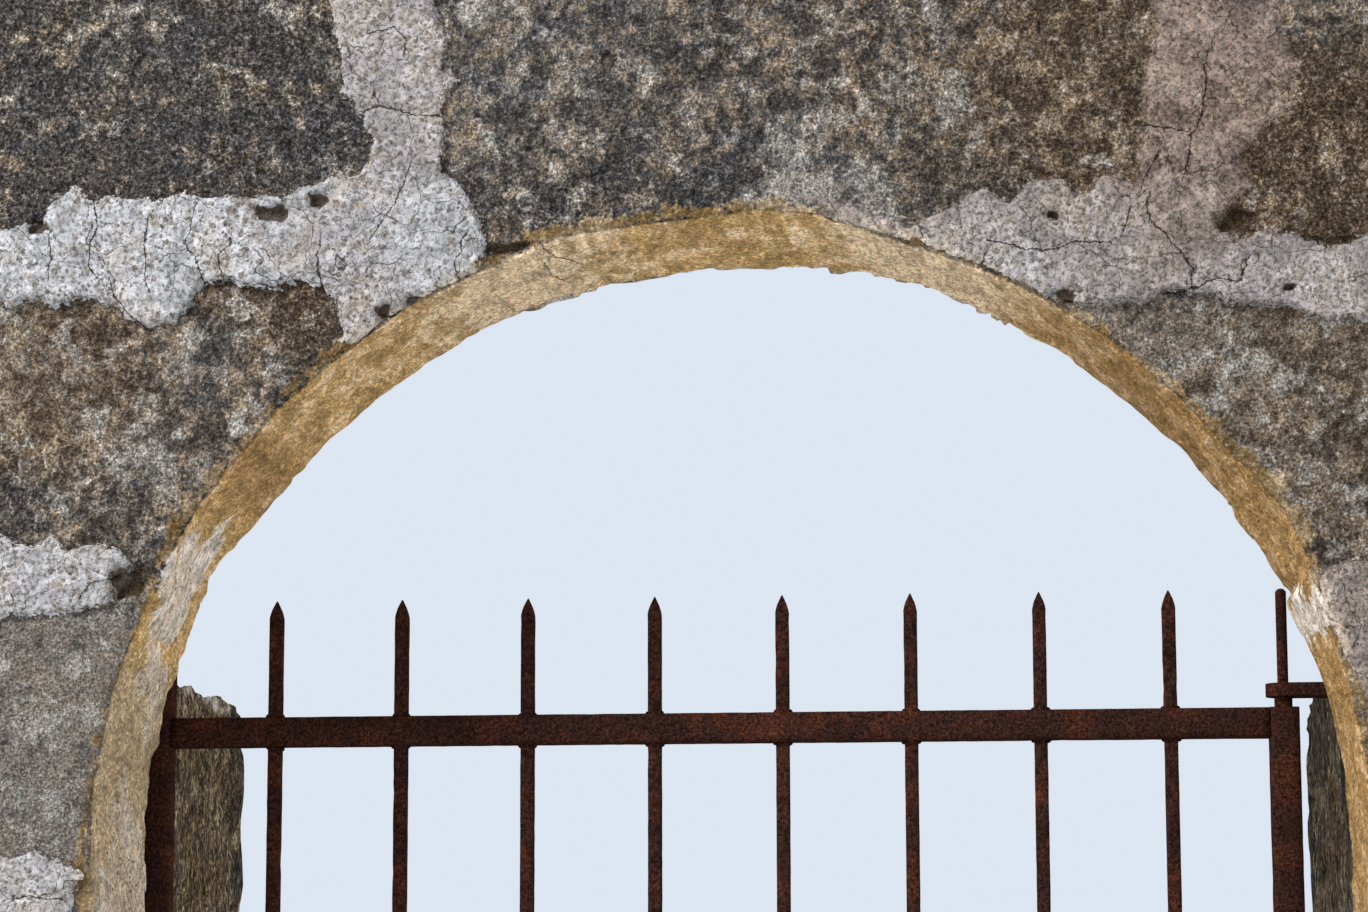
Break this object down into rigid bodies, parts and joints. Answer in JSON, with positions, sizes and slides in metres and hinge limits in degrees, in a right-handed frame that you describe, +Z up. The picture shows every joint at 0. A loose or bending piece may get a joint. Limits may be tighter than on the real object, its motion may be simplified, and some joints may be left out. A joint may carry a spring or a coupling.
{
  "type": "arched stone gateway",
  "caption": "Round-arched gateway cut through a wall of large stone blocks, with a single-leaf spear-topped iron gate that swings inwards.",
  "frame": {"origin": "on the ground, in the middle of the passage's width and of the arch wall's thickness", "axes": "+X along the wall towards the hinge side, +Y through the wall towards the yard, +Z up"},
  "size_m": [3.1, 0.825, 2.76],
  "materials": {
    "ashlar": "matte",
    "coping_stone": "matte",
    "rubble": "matte",
    "threshold_stone": "matte",
    "wall_iron": "matte",
    "gate_iron": "matte"
  },
  "bodies": {
    "wall": {"left_jamb": "ashlar", "right_jamb": "ashlar", "left_springer": "ashlar", "right_springer": "ashlar", "left_haunch": "ashlar", "right_haunch": "ashlar", "crown_stone": "ashlar", "left_top_course": "ashlar", "right_top_course": "ashlar", "coping_1": "coping_stone", "coping_2": "coping_stone", "coping_3": "coping_stone", "coping_4": "coping_stone", "rear_wall_left": "rubble", "rear_wall_right": "rubble", "threshold": "threshold_stone", "foot_socket": "wall_iron", "hinge_strap": "wall_iron", "lock_keeper": "wall_iron"},
    "gate_leaf": {"hinge_stile": "gate_iron", "lock_stile": "gate_iron", "head_pin": "gate_iron", "foot_pin": "gate_iron", "top_rail": "gate_iron", "middle_rail": "gate_iron", "bottom_rail": "gate_iron", "bar_1": "gate_iron", "bar_2": "gate_iron", "bar_3": "gate_iron", "bar_4": "gate_iron", "bar_5": "gate_iron", "bar_6": "gate_iron", "bar_7": "gate_iron", "bar_8": "gate_iron", "lock_case": "gate_iron"}
  },
  "joints": [
    {"name": "gate_hinge", "type": "hinge", "parent": "wall", "child": "gate_leaf", "pos_m": [0.542, 0.168, 0.085], "axis": [0, 0, -1], "range_deg": [0, 90]}
  ]
}
